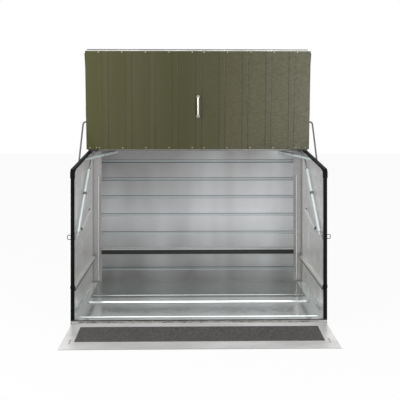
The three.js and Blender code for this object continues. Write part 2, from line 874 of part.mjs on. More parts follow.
function doorHandle() {
  const y = ribDepth - doorDepth - seatGap;
  const z = handleHeight - doorDrop;
  const [low, high] = [z - handleTall / 2 + handleRadius, z + handleTall / 2 - handleRadius];
  const corners = [
    [0, y, low],
    [0, y - handleStandOff, low],
    [0, y - handleStandOff, high],
    [0, y, high],
  ].map((values) => new THREE.Vector3(...values));
  const feet = [low, high].map((place) => barY(footRadius, y - footThick, y, 0, place));
  const bar = bentRod(rounded(corners, handleBend), handleRadius);
  return piece('door_handle', onDoor(join(bar, ...feet)), 'chrome');
}

// Padlock staples on the walls, and the forked hasps on the door that close over them
const stapleSetback = 10;
const stapleDepth = front + stapleSetback;
const stapleTall = 37;
const stapleReach = 26;
const stapleRadius = 3;
const staplePlate = 12;
const haspStart = -33;
const haspReach = 27;
const haspSlotStart = 3;
const haspAbove = 8;
const haspBelow = 28;
const haspProng = 12;

function staples() {
  return sides.map(([name, side]) => {
    const x = side * (half + seatGap);
    const [low, high] = [stapleHeight - stapleTall / 2, stapleHeight + stapleTall / 2];
    const corners = [
      [x, stapleDepth, low + stapleRadius],
      [x + side * stapleReach, stapleDepth, low + stapleRadius],
      [x + side * stapleReach, stapleDepth, high - stapleRadius],
      [x, stapleDepth, high - stapleRadius],
    ].map((values) => new THREE.Vector3(...values));
    const base = block([x, x + side * sheet].sort((a, b) => a - b),
      [stapleDepth - staplePlate / 2, stapleDepth + staplePlate / 2],
      [low - staplePlate, high + staplePlate]);
    const loop = bentRod(rounded(corners, stapleTall / 4), stapleRadius);
    return piece(`staple_${name}`, join(base, loop), 'galvanised');
  });
}

function hasps() {
  const z = stapleHeight - closedEdge[1];
  const low = z - stapleTall / 2 - haspBelow;
  const high = z + stapleTall / 2 + haspAbove;
  const fork = outline([
    [haspStart, low - haspProng],
    [haspReach, low - haspProng],
    [haspReach, low],
    [haspSlotStart, low],
    [haspSlotStart, high],
    [haspReach, high],
    [haspReach, high + haspProng],
    [haspStart, high + haspProng],
  ]);
  return sides.map(([name, side]) => {
    const near = doorHalf + seatGap;
    const limits = side > 0 ? [near, near + plate] : [-near - plate, -near];
    return piece(`hasp_${name}`, onDoor(alongX(fork, ...limits)), 'galvanised');
  });
}

// Arms: bent rods outside the walls, turning in brackets below and in the door's flanges above
const armStandOff = 40;
const armPlane = half + armStandOff;
const armBend = 24;
const bossRadius = 15;
const bossLength = 13;
const bossFloor = 1;
const armPlateWidth = 60;
const armPlateTall = 90;
const armEndAbove = half;
const collarRadius = 12;
const collarThick = 2;

function arms() {
  const list = [];
  for (const [name, side] of sides) {
    const seat = side * half;
    const start = seat + side * bossFloor;
    const corners = [
      [start, ...armAxis],
      [side * armPlane, ...armAxis],
      [side * armPlane, ...openEye],
      [side * armEndAbove, ...openEye],
    ].map((values) => new THREE.Vector3(...values));
    const rod = bentRod(rounded(corners, armBend), armRadius);
    const bossEnd = seat + side * (bossLength + seatGap);
    const lower = barX(collarRadius, bossEnd, bossEnd + side * collarThick, ...armAxis);
    const outer = side * (doorHalf + armClearance);
    const inner = side * (doorHalf - sheet - armClearance);
    const collars = [
      lower,
      barX(collarRadius, outer, outer + side * collarThick, ...openEye),
      barX(collarRadius, inner, inner - side * collarThick, ...openEye),
    ];
    list.push(piece(`arm_${name}`, join(rod, ...collars), 'galvanised'));
    const near = side * (wallPlane + sideRibDepth + seatGap);
    const flat = block([near, seat].sort((a, b) => a - b),
      [armAxis[0] - armPlateWidth / 2, armAxis[0] + armPlateWidth / 2],
      [armAxis[1] - armPlateTall / 2, armAxis[1] + armPlateTall / 2]);
    const boss = barX(bossRadius, near, seat + side * bossLength, ...armAxis);
    const [floorEnd, openEnd] = [seat + side * bossFloor / 2, seat + side * bossLength * 2];
    const bore = barX(armRadius + armClearance, floorEnd, openEnd, ...armAxis);
    list.push(piece(`arm_bracket_${name}`, cut(join(flat, boss), bore), 'galvanised'));
  }
  return list;
}

// Ramp: a folded plate with hipped sides, its hinge and its grip mat, drawn from the hinge axis
const rampStandOff = 7;
const rampHeight = 28;
const rampAxis = [front - rampStandOff, rampHeight];
const rampPitch = THREE.MathUtils.degToRad(4.2);
const rampStart = 8;
const rampCrease = 37;
const rampCreaseEnd = 315;
const rampLength = 372;
const rampTopInset = 11;
const rampFrontInset = 82;
const rampTopHalf = half - rampTopInset;
const rampFrontHalf = half - rampFrontInset;
const rampTop = 3;
const rampWall = 2.5;
const rampHip = 19;
const matInset = 90;
const matHalf = half - matInset;
const matStart = 70;
const matEnd = 274;
const matThick = 2.5;
const slotInset = 57;
const slotPlace = half - slotInset;
const slotWidth = 20;
const slotDepth = 6;
const slotAlong = 251;

function onRamp(geometry) {
  return geometry.rotateX(rampPitch).translate(0, ...rampAxis);
}

// A sheet made thick downwards, from corner points and faces listed anticlockwise as seen from above
function sheetFrom(corners, faces, thickness) {
  const positions = [];
  const drop = ([x, y, z]) => [x, y, z - thickness];
  const edges = new Map();
  for (const [a, b, c] of faces) {
    positions.push(...corners[a], ...corners[b], ...corners[c]);
    positions.push(...drop(corners[a]), ...drop(corners[c]), ...drop(corners[b]));
    for (const [from, to] of [[a, b], [b, c], [c, a]]) {
      edges.set(`${from}/${to}`, [from, to]);
    }
  }
  for (const [from, to] of edges.values()) {
    if (!edges.has(`${to}/${from}`)) {
      const [p, q] = [corners[from], corners[to]];
      positions.push(...p, ...drop(p), ...q, ...q, ...drop(p), ...drop(q));
    }
  }
  const geometry = new THREE.BufferGeometry();
  geometry.setAttribute('position', new THREE.BufferAttribute(new Float32Array(positions), 3));
  return geometry;
}

function rampPlate() {
  const rows = [
    [rampTopHalf, rampStart],
    [rampTopHalf, rampCrease],
    [rampFrontHalf, rampCreaseEnd],
    [rampFrontHalf, rampLength],
  ];
  const corners = [];
  for (const [x, along] of rows) {
    corners.push([-x, -along, rampTop], [x, -along, rampTop]);
  }
  for (const side of [-1, 1]) {
    corners.push([side * half, -rampCrease, -rampHip], [side * half, -rampLength, rampTop - sheet]);
  }
  const faces = [
    [0, 2, 3], [0, 3, 1],
    [2, 4, 5], [2, 5, 3],
    [4, 6, 7], [4, 7, 5],
    [2, 8, 9], [2, 9, 4], [4, 9, 6],
    [3, 11, 10], [3, 5, 11], [5, 7, 11],
  ];
  const slots = [-1, 1].map((side) => {
    const x = side * slotPlace;
    return block([x - slotWidth / 2, x + slotWidth / 2],
      [-slotAlong - slotDepth / 2, -slotAlong + slotDepth / 2],
      [-rampHip, rampHip]);
  });
  return cut(sheetFrom(corners, faces, rampWall), ...slots);
}

function ramp() {
  const matBottom = rampTop + seatGap;
  const mat = block([-matHalf, matHalf], [-matEnd, -matStart], [matBottom, matBottom + matThick]);
  const faceY = [front - leafWall - seatGap, front - seatGap];
  const leafZ = [rampStart, rampAxis[1] - rampTop];
  const bridgeZ = [rampAxis[1] - rampTop - leafWall, rampAxis[1] - rampTop];
  const fixed = fixedLeaf(rampAxis, faceY, leafZ, [rampAxis[0], front - seatGap], bridgeZ);
  return [
    piece('ramp_plate', onRamp(rampPlate()), 'aluminium'),
    piece('ramp_mat', onRamp(mat), 'mat'),
    piece('ramp_hinge_moving', onRamp(movingLeaf(rampTop - rampWall - seatGap)), 'galvanised'),
    piece('ramp_hinge_fixed', fixed, 'galvanised'),
  ];
}

const group = new THREE.Group();
group.name = 'bicycle_locker';
group.add(
  ...baseFrame(),
  ...floor(),
  ...sideWalls(),
  ...midRails(),
  ...backWall(),
  ...edgeTrims(),
  ...cornerStays(),
  ...lidHinge(),
  ...lid(),
  ...struts(),
  piece('door_panel', onDoor(doorPanel()), 'coated'),
  ...doorRails(),
  doorHandle(),
  ...hasps(),
  ...staples(),
  ...arms(),
  ...ramp(),
);

export default group;
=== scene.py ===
# Bicycle locker of galvanised and plastic-coated sheet steel, standing open with its ramp down.
# The bay, lid, door, arms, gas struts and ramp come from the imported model. Each section dresses one
# group of them, and adds its rivets and other small fittings.

import bpy
import bmesh
import math
import numpy as np
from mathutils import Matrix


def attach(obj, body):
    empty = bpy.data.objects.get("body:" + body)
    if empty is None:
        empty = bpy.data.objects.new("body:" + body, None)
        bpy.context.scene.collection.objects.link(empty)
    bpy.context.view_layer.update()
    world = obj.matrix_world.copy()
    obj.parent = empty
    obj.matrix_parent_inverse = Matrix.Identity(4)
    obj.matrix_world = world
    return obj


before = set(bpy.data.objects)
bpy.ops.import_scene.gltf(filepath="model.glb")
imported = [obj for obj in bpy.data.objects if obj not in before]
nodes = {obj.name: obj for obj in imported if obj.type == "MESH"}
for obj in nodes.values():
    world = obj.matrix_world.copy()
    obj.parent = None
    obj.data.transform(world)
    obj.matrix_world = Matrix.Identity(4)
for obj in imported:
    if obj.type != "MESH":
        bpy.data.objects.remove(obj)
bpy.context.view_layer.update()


# Galvanised sheet: the back wall, the side walls' inner faces and the rails along them.
# Rolled steel dipped in zinc, so it is half mirror-like, softly clouded, and olive-coated outside.

class Wire:
    """A shader socket. An operator on it adds the Math node of that name and gives its output."""

    def __init__(self, tree, socket):
        self.tree = tree
        self.socket = socket

    def math(self, operation, first, second=None):
        node = self.tree.nodes.new("ShaderNodeMath")
        node.operation = operation
        for place, value in enumerate((first, second)):
            if isinstance(value, Wire):
                self.tree.links.new(value.socket, node.inputs[place])
            elif value is not None:
                node.inputs[place].default_value = value
        return Wire(self.tree, node.outputs[0])

    def __add__(self, other): return self.math("ADD", self, other)
    def __radd__(self, other): return self.math("ADD", other, self)
    def __sub__(self, other): return self.math("SUBTRACT", self, other)
    def __rsub__(self, other): return self.math("SUBTRACT", other, self)
    def __mul__(self, other): return self.math("MULTIPLY", self, other)
    def __truediv__(self, other): return self.math("DIVIDE", self, other)
    def __pow__(self, other): return self.math("POWER", self, other)
    def __gt__(self, other): return self.math("GREATER_THAN", self, other)
    def __lt__(self, other): return self.math("LESS_THAN", self, other)

    def absolute(self): return self.math("ABSOLUTE", self)
    def clamped(self): return self.math("MAXIMUM", self.math("MINIMUM", self, 1.0), 0.0)
    def fraction(self): return self.math("FRACT", self)

    def off(self, first, pitch):
        """The distance to the nearest of the places first, first + pitch and so on."""
        return (((self - first) / pitch + 0.5).fraction() - 0.5).absolute() * pitch


class Finish:
    """One material: a Principled shader, and methods that add other nodes in front of it."""

    def __init__(self, name, colour, roughness, metallic=0.0, **fixed):
        self.material = bpy.data.materials.new(name)
        self.material.use_nodes = True
        self.tree = self.material.node_tree
        self.shader = self.tree.nodes["Principled BSDF"]
        self.shader.inputs["Base Color"].default_value = (*colour, 1.0)
        self.shader.inputs["Roughness"].default_value = roughness
        self.shader.inputs["Metallic"].default_value = metallic
        for socket, value in fixed.items():
            self.shader.inputs[socket.replace("_", " ")].default_value = value
        self.material.diffuse_color = (*colour, 1.0)

    def node(self, kind, settings=None, out=0, **values):
        """Any node, by its type, its settings and the values or links of its sockets."""
        made = self.tree.nodes.new(kind)
        for key, value in (settings or {}).items():
            setattr(made, key, value)
        for key, value in values.items():
            socket = made.inputs[key.replace("_", " ")]
            if isinstance(value, Wire):
                self.tree.links.new(value.socket, socket)
            else:
                socket.default_value = value
        return Wire(self.tree, made.outputs[out])

    def place(self):
        """The point of the object, in metres in the row frame."""
        return self.node("ShaderNodeTexCoord", out=3)

    def axis(self, letter):
        """One coordinate of that point."""
        return self.node("ShaderNodeSeparateXYZ", out="XYZ".index(letter), Vector=self.place())

    def facing(self, letter):
        """One coordinate of the line that the surface faces along, in the object's own frame."""
        faced = self.node("ShaderNodeTexCoord", out=1)
        return self.node("ShaderNodeSeparateXYZ", out="XYZ".index(letter), Vector=faced)

    def stretched(self, scale):
        """The point with each coordinate multiplied by its own scale."""
        return self.node("ShaderNodeMapping", Vector=self.place(), Scale=scale)

    def noise(self, scale, detail=3.0, at=None):
        return self.node("ShaderNodeTexNoise", Vector=at or self.place(), Scale=scale,
                         Detail=detail)

    def cells(self, scale, at=None, out=1):
        return self.node("ShaderNodeTexVoronoi", out=out, Vector=at or self.place(), Scale=scale)

    def mixed(self, factor, first, second):
        """first where the factor is 0, second where it is 1, as colours."""
        made = self.tree.nodes.new("ShaderNodeMix")
        made.data_type = "RGBA"
        for place, value in ((0, factor), (6, first), (7, second)):
            if isinstance(value, Wire):
                self.tree.links.new(value.socket, made.inputs[place])
            else:
                made.inputs[place].default_value = value if place == 0 else (*value, 1.0)
        return Wire(self.tree, made.outputs[2])

    def feed(self, socket, wire):
        self.tree.links.new(wire.socket, self.shader.inputs[socket])

    def relief(self, height, depth):
        """Height, from 0 to 1, as a bump of that depth in metres."""
        bump = self.node("ShaderNodeBump", Strength=1.0, Distance=depth, Height=height)
        self.feed("Normal", bump)

    def onto(self, *names):
        for name in names:
            nodes[name].data.materials.clear()
            nodes[name].data.materials.append(self.material)


def tinted(colour, share):
    """The colour made lighter or darker by one share, no lighter than white."""
    return tuple(min(value * share, 1.0) for value in colour)


sheet_metal = 0.7


def zinc(name, colour, roughness, spangle=38.0, wave=0.0005, metal=sheet_metal):
    """Zinc's crystals: cells of slightly different tone under a slow cloud, on sheet that waves
    a little."""
    finish = Finish(name, colour, roughness, metal)
    crystal = finish.node("ShaderNodeSeparateColor", Color=finish.cells(spangle))
    cloud = finish.noise(2.2, 4.0)
    streak = finish.noise(1.0, 3.0, finish.stretched((3.0, 3.0, 26.0)))
    finish.shade = (crystal * 0.22 + cloud * 0.5 + streak * 0.28).clamped()
    finish.tone = finish.mixed(finish.shade, tinted(colour, 0.76), tinted(colour, 1.24))
    finish.feed("Base Color", finish.tone)
    finish.feed("Roughness", (crystal * 0.04 + cloud * 0.14 + (roughness - 0.09)).clamped())
    finish.relief(finish.noise(3.4, 1.0), wave)
    return finish


olive = (0.070, 0.067, 0.031)
turned_away = 0.05

# The back wall is drawn with a painted sheen: brighter at half height and towards the right, in slow
# upright clouds. Its grooves are a little greener, a painted light, with painted shade along each
# flank.
groove_first, groove_pitch, groove_half, groove_edge = 0.162, 0.164, 0.0105, 0.0136
bright_height, bright_reach = 0.65, 0.55
dim_zinc, lit_zinc, cloud_zinc = (0.20, 0.198, 0.197), (0.60, 0.615, 0.635), (0.34, 0.34, 0.336)
groove_painted_light, flank_painted_shade = (0.24, 0.30, 0.31), (0.105, 0.115, 0.118)
back_zinc = zinc("galvanised_back_wall", (0.42, 0.415, 0.41), 0.33)
off_groove = back_zinc.axis("Z").off(groove_first, groove_pitch)
broad = (back_zinc.noise(1.0, 2.0, back_zinc.stretched((2.4, 1.0, 0.55))) - 0.5) * 1.5
middle = 1.0 - (back_zinc.axis("Z") - bright_height).absolute() / bright_reach
lit_side = (back_zinc.axis("X") + 0.4) * 0.28
lit = (middle * 0.6 + broad + lit_side + 0.02).clamped()
sheen = back_zinc.mixed(lit, dim_zinc, lit_zinc)
sheen = back_zinc.mixed(back_zinc.shade * 0.3, sheen, cloud_zinc)
# Painted light inside each groove and painted shade along its flanks.
in_groove = back_zinc.mixed((off_groove < groove_half) * 0.4, sheen, groove_painted_light)
on_flank = (off_groove > groove_half) * (off_groove < groove_edge)
lined = back_zinc.mixed(on_flank, in_groove, flank_painted_shade)
behind = back_zinc.facing("Y") > turned_away
back_zinc.feed("Base Color", back_zinc.mixed(behind, lined, olive))
back_zinc.feed("Metallic", sheet_metal - behind * sheet_metal)
back_zinc.onto("back_wall")

wall_zinc = zinc("galvanised_walls", (0.78, 0.765, 0.755), 0.42)
outer = (wall_zinc.facing("X") * wall_zinc.axis("X")) > turned_away
wall_zinc.feed("Base Color", wall_zinc.mixed(outer, wall_zinc.tone, olive))
wall_zinc.feed("Metallic", sheet_metal - outer * sheet_metal)
wall_zinc.feed("Roughness", wall_zinc.shade * 0.1 + outer * 0.1 + 0.33)
wall_zinc.onto("side_wall_left", "side_wall_right")

# The shadows under the side rails and in the back rail's hollow are drawn as a dark finish.
rail_shadow_top, rail_shadow = 0.269, (0.035, 0.035, 0.033)
rail_zinc = zinc("galvanised_rails", (0.80, 0.79, 0.76), 0.34, spangle=80.0)
shadowed = rail_zinc.axis("Z") < rail_shadow_top
rail_zinc.feed("Base Color", rail_zinc.mixed(shadowed, rail_zinc.tone, rail_shadow))
rail_zinc.onto("side_rail_left", "side_rail_right")

hollow_low, hollow_high, hollow_shadow = 0.297, 0.338, (0.030, 0.031, 0.031)
back_rail_zinc = zinc("galvanised_back_rail", (0.45, 0.45, 0.45), 0.34, spangle=80.0)
height = back_rail_zinc.axis("Z")
hollow = (height > hollow_low) * (height < hollow_high)
back_rail_zinc.feed("Base Color", back_rail_zinc.mixed(hollow, back_rail_zinc.tone, hollow_shadow))
back_rail_zinc.onto("back_rail")


# Floor: two sheets with cross beads, the front one with a raised hat, and a skirting along each
# wall. Smooth galvanised steel, slightly green, that mirrors the bay. It lies on the base rails.

mirror_zinc = {"spangle": 30.0, "wave": 0.0014, "metal": 0.72}
zinc("galvanised_floor", (0.80, 0.90, 0.87), 0.14, **mirror_zinc).onto(
    "floor_front", "floor_edge_left", "floor_edge_right")
# The rear sheet is a darker copy of the floor's finish: painted shade at the back of the bay.
zinc("galvanised_rear_floor_shaded", (0.40, 0.425, 0.41), 0.17, **mirror_zinc).onto("floor_rear")


# Frame: the base rails, the corner posts, the rear top rail and the stays across the rear corners.
# Folded from thicker galvanised strip and riveted through the walls.

frame_zinc = zinc("galvanised_frame", (0.43, 0.425, 0.42), 0.38, spangle=70.0)
frame_zinc.onto("base_rail_rear", "base_rail_left", "base_rail_right", "base_bearer",
                "corner_post_left", "corner_post_right", "back_top_rail")

# Two dark lines of painted gap shadow and a band of long dark specks lie along the sill's front face.
sill_zinc = zinc("galvanised_sill", (0.56, 0.55, 0.54), 0.34, spangle=120.0, wave=0.0003)
sill_front, sill_dark = -0.438, (0.040, 0.036, 0.032)
(upper_low, upper_high), (lower_low, lower_high) = (0.0385, 0.0478), (0.0175, 0.0255)
sill_height = sill_zinc.axis("Z")
upper_line = (sill_height > upper_low) * (sill_height < upper_high)
lower_line = (sill_height > lower_low) * (sill_height < lower_high)
specks = sill_zinc.noise(1.0, 4.0, sill_zinc.stretched((26.0, 60.0, 160.0)))
sill_shade_lines_and_specks = upper_line + lower_line + (specks - 0.42) * 1.6
in_front = sill_zinc.axis("Y") < sill_front
sill_darkened = (sill_shade_lines_and_specks * in_front).clamped()
sill_zinc.feed("Base Color", sill_zinc.mixed(sill_darkened, sill_zinc.tone, sill_dark))
sill_zinc.onto("base_rail_front")

stay_zinc = zinc("galvanised_stays", (0.66, 0.73, 0.74), 0.30,
                 spangle=70.0, wave=0.0002, metal=0.45)
stay_zinc.onto("corner_stay_left", "corner_stay_right")


def strips(size, rings):
    """The quads between rings of that many points each, one ring after another."""
    here = np.arange(size)
    following = (here + 1) % size
    row = np.arange(rings - 1)[:, None] * size
    return np.stack([row + here, row + following,
                     row + size + following, row + size + here], axis=-1)


def turned(profile, segments, centres, outward):
    """A profile of radius and height, from axis to axis, turned about each centre's outward line:
    point = centre + radius (cos a U + sin a V) + height W, with U and V square to W."""
    profile = np.asarray(profile, float)
    centres = np.atleast_2d(np.asarray(centres, float))
    w = np.broadcast_to(np.asarray(outward, float), centres.shape)
    w = w / np.linalg.norm(w, axis=1, keepdims=True)
    helper = np.where(np.abs(w[:, :1]) < 0.9, [[1.0, 0.0, 0.0]], [[0.0, 1.0, 0.0]])
    u = np.cross(w, helper)
    u /= np.linalg.norm(u, axis=1, keepdims=True)
    v = np.cross(w, u)
    angle = np.linspace(0.0, 2.0 * np.pi, segments, endpoint=False)
    ring = profile[1:-1]
    radial = np.cos(angle)[None, :, None] * u[:, None] + np.sin(angle)[None, :, None] * v[:, None]
    rings = (centres[:, None, None] + ring[None, :, None, :1] * radial[:, None]
             + ring[None, :, None, 1:] * w[:, None, None])
    count = len(ring) * segments
    poles = centres[:, None] + profile[[0, -1], 1][None, :, None] * w[:, None]
    points = np.concatenate([rings.reshape(len(centres), count, 3), poles], axis=1)
    quads = strips(segments, len(ring))
    here = np.arange(segments)
    following = (here + 1) % segments
    last = count - segments
    fans = np.concatenate([
        np.stack([np.full(segments, count), following, here], axis=-1),
        np.stack([last + here, last + following, np.full(segments, count + 1)], axis=-1)])
    start = (np.arange(len(centres)) * (count + 2))[:, None, None]
    return points.reshape(-1, 3), ((quads.reshape(1, -1, 4) + start).reshape(-1, 4).tolist()
                                   + (fans[None] + start).reshape(-1, 3).tolist())


def carried(section, path, u, v):
    """A closed section carried along a path: point = path + a U + b V, with flat ends."""
    section = np.asarray(section, float)
    path = np.asarray(path, float)
    u = np.broadcast_to(np.asarray(u, float), path.shape)
    v = np.broadcast_to(np.asarray(v, float), path.shape)
    points = path[:, None] + section[None, :, :1] * u[:, None] + section[None, :, 1:] * v[:, None]
    size = len(section)
    here = np.arange(size)
    quads = strips(size, len(path))
    ends = [here[::-1].tolist(), (here + (len(path) - 1) * size).tolist()]
    return points.reshape(-1, 3), quads.reshape(-1, 4).tolist() + ends


sharp_from = math.radians(35.0)


def piece(name, surfaces, body, finish):
    """Joins closed surfaces into one named mesh that rides on a body, with its faces outwards."""
    points, faces, start = [], [], 0
    for some_points, some_faces in surfaces:
        points.append(some_points)
        faces += [[index + start for index in face] for face in some_faces]
        start += len(some_points)
    mesh = bpy.data.meshes.new(name)
    mesh.from_pydata(np.concatenate(points).tolist(), [], faces)
    shell = bmesh.new()
    shell.from_mesh(mesh)
    bmesh.ops.recalc_face_normals(shell, faces=shell.faces)
    shell.to_mesh(mesh)
    shell.free()
    mesh.polygons.foreach_set("use_smooth", np.ones(len(mesh.polygons), bool))
    mesh.set_sharp_from_angle(angle=sharp_from)
    mesh.materials.append(finish.material)
    made = bpy.data.objects.new(name, mesh)
    bpy.context.scene.collection.objects.link(made)
    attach(made, body)


def domed(radius, height):
    """A dome's profile: radius = R sin t and height = H cos t, from its crown to its sunk foot."""
    t = np.linspace(0.0, np.pi / 2, 6)
    crown = np.stack([radius * np.sin(t), height * np.cos(t)], axis=1)
    return np.concatenate([crown, [[0.0, -0.1 * height]]])


def spots(x, y, z):
    """Places from three coordinates, each of them one number or a row of numbers."""
    return np.stack(np.broadcast_arrays(x, y, z), axis=-1).astype(float)


def mirrored(places):
    """The places and their mirror images across the middle of the locker."""
    places = np.atleast_2d(np.asarray(places, float))
    return np.concatenate([places, places * [-1.0, 1.0, 1.0]])


def turned_in(profile, segments, places):
    """Turned heads on both side walls that face the middle of the locker."""
    right = np.atleast_2d(np.asarray(places, float))
    left = right * [-1.0, 1.0, 1.0]
    return [turned(profile, segments, right, (-1.0, 0.0, 0.0)),
            turned(profile, segments, left, (1.0, 0.0, 0.0))]


rivet_zinc = zinc("rivet_zinc", (0.50, 0.49, 0.48), 0.32, spangle=200.0, wave=0.0001)
rivet_sides = 14
forwards = (0.0, -1.0, 0.0)
post_face, post_rivet_x = 0.3851, 0.925
post_rivets = mirrored(spots(post_rivet_x, post_face, np.linspace(0.12, 1.18, 9)))
sill_face, sill_rivet_z = -0.44, 0.037
sill_rivets = spots(np.linspace(-0.91, 0.91, 14), sill_face, sill_rivet_z)
piece("frame_rivets", [
    turned(domed(0.0045, 0.0022), rivet_sides, post_rivets, forwards),
    turned(domed(0.0038, 0.0018), rivet_sides, sill_rivets, forwards)],
    "root", rivet_zinc)

wall_inside = 0.9388
rail_inside, rail_rivet_z = 0.9314, 0.274
rail_rivets = spots(rail_inside, np.linspace(-0.34, 0.32, 6), rail_rivet_z)
piece("rail_rivets", turned_in(domed(0.0042, 0.002), rivet_sides, rail_rivets),
      "root", rivet_zinc)

# A rolled ridge runs up the face of each corner post.
ridge_x, ridge_ends = 0.902, (0.075, 1.02)
ridge_half, ridge_proud, ridge_sunk = 0.0065, 0.0034, 0.0002
ridge_across = np.linspace(-1.0, 1.0, 9)
ridge = np.stack([ridge_half * ridge_across, ridge_proud * (1.0 - ridge_across ** 2)], axis=1)
ridge = np.concatenate([ridge, [[ridge_half, -ridge_sunk], [-ridge_half, -ridge_sunk]]])
ridge_zinc = zinc("ridge_zinc", (0.46, 0.455, 0.45), 0.38, spangle=90.0, wave=0.0001)
piece("post_ridges", [
    carried(ridge, [(side * ridge_x, post_face, z) for z in ridge_ends], (1.0, 0.0, 0.0), forwards)
    for side in (-1, 1)], "root", ridge_zinc)


# Wall bars: a short round prop on the inside of each side wall.
# Bright drawn steel rod. A dark round lug, fixed to the wall, holds each of its ends.

def brushed(name, colour, roughness, along, metallic=1.0):
    """Brushing: noise drawn out along one axis, as fine lines in tone, gloss and relief."""
    finish = Finish(name, colour, roughness, metallic)
    lines = finish.noise(1.0, 4.0, finish.stretched(along))
    cloud = finish.noise(3.0, 4.0)
    shade = (lines * 0.6 + cloud * 0.4).clamped()
    finish.tone = finish.mixed(shade, tinted(colour, 0.84), tinted(colour, 1.12))
    finish.feed("Base Color", finish.tone)
    finish.feed("Roughness", (roughness - 0.08 + lines * 0.16).clamped())
    finish.relief(lines, 0.00003)
    return finish


bar_rear, bar_front = np.array([0.9265, 0.140, 0.757]), np.array([0.9265, -0.188, 0.672])
bar_line = bar_rear - bar_front
bar_long = np.linalg.norm(bar_line)
bar_radius, bar_taper = 0.0072, 0.003
bar_tip = 0.6 * bar_radius
bar_profile = [[0.0, 0.0], [bar_tip, 0.0], [bar_radius, bar_taper],
               [bar_radius, bar_long - bar_taper], [bar_tip, bar_long], [0.0, bar_long]]
flip = np.array([-1.0, 1.0, 1.0])
bar_steel = brushed("wall_bar_steel", (0.84, 0.86, 0.86), 0.30,
                    along=(90.0, 90.0, 400.0), metallic=0.35)
piece("wall_bars", [turned(bar_profile, 20, bar_front, bar_line),
                    turned(bar_profile, 20, bar_front * flip, bar_line * flip)],
      "root", bar_steel)
lug = [[0.0, 0.0162], [0.0045, 0.0162], [0.0062, 0.0148], [0.0065, 0.0128], [0.0105, 0.0122],
       [0.0108, 0.003], [0.013, 0.0022], [0.0132, 0.0004], [0.0, 0.0004]]
lug_places = [(wall_inside, *bar_rear[1:]), (wall_inside, *bar_front[1:])]
dark_steel = brushed("dark_fittings", (0.16, 0.165, 0.17), 0.36, along=(300.0, 300.0, 300.0))
piece("wall_bar_lugs", turned_in(lug, 22, lug_places), "root", dark_steel)


# Coated sheet: the door, the lid, the rear corner covers and the rails inside the door's edges.
# Steel with a thick olive plastic coat, embossed all over with a fine rippled grain.

seam_half, fold_half = 0.0042, 0.0022
seam_joint_and_shade, shade_dark = (0.012, 0.0115, 0.006), (0.012, 0.013, 0.004)
strip_pale, sheen_grey, edge_pale = (0.13, 0.125, 0.075), (0.15, 0.145, 0.115), (0.74, 0.75, 0.74)
bright_above = 2.1245


def plastic_coat(name, seams=None):
    """Fine ripples and wrinkles, over a colour that drifts in upright bands from green to brown.
    With seams, as first edge, width and pitch, it has dark lines at the ribs' edges, partly joints
    and partly painted shade that is bolder to the right, painted shade in the middle, a painted sheen
    in short grey dashes to the right, and is bright along the top of the open door."""
    finish = Finish(name, olive, 0.40, 0.0, Specular_IOR_Level=0.32)
    ripple = finish.noise(1.0, 2.0, finish.stretched((60.0, 60.0, 300.0)))
    wrinkle = finish.noise(1.0, 3.0, finish.stretched((260.0, 260.0, 420.0)))
    pebble = finish.cells(1.0, finish.stretched((420.0, 420.0, 560.0)), out=0)
    bands = finish.noise(1.0, 4.0, finish.stretched((7.0, 2.0, 0.5)))
    green = finish.mixed(wrinkle, (0.034, 0.036, 0.008), (0.078, 0.078, 0.024))
    brown = finish.mixed(wrinkle, (0.042, 0.038, 0.012), (0.090, 0.083, 0.036))
    colour = finish.mixed(((bands - 0.5) * 2.4 + 0.5).clamped(), green, brown)
    if seams:
        first, width, pitch = seams
        off = finish.axis("X").off(first, pitch)
        past = finish.axis("X").off(first - width, pitch)
        # The dark lines are partly joints and partly painted shade on the rib flanks, bolder to the
        # right.
        line = ((off < seam_half) + (past < fold_half) * 0.35).clamped()
        strip = (finish.axis("X").off(first - width / 2, pitch) < width / 2) * 0.05
        colour = finish.mixed(strip, colour, strip_pale)
        bold = ((finish.axis("X") + 0.2) * 1.6).clamped() * 0.42 + 0.42
        colour = finish.mixed(line * bold, colour, seam_joint_and_shade)
        # Painted shade darkens the middle of the panel.
        across = (finish.axis("X") - 0.05).absolute()
        drift = (across * across * 0.9 + (bands - 0.5)).clamped()
        colour = finish.mixed(0.26 - drift * 0.4, colour, shade_dark)
        # A painted sheen greys the panel in short dashes towards the right.
        right = ((finish.axis("X") + 0.1) * 0.9).clamped()
        dashes = finish.noise(1.0, 2.0, finish.stretched((36.0, 36.0, 90.0)))
        sheen = (right * (0.32 + (dashes - 0.5) * 1.2)).clamped()
        colour = finish.mixed(sheen, colour, sheen_grey)
        top_edge = finish.axis("Z") > bright_above
        colour = finish.mixed(top_edge, colour, edge_pale)
        finish.feed("Metallic", top_edge * 0.5)
    finish.feed("Base Color", colour)
    finish.feed("Roughness", (wrinkle * 0.12 + ripple * 0.08 + 0.29).clamped())
    finish.relief(ripple * 0.4 + wrinkle * 0.35 + pebble * 0.25, 0.00045)
    return finish


rib_edge, rib_width, rib_pitch = -0.173, 0.052, 0.202
ribbed_coat = plastic_coat("olive_ribbed_coat", (rib_edge, rib_width, rib_pitch))
ribbed_coat.onto("door_panel", "lid_panel")
plastic_coat("olive_plain_coat").onto(
    "door_top_rail", "door_bottom_rail", "corner_cover_left", "corner_cover_right")


# Edge trim: the black plastic channel pushed over the front posts and along the sloping tops.
# Moulded in lengths, with a short sleeve over each joint, low and high on the front posts.

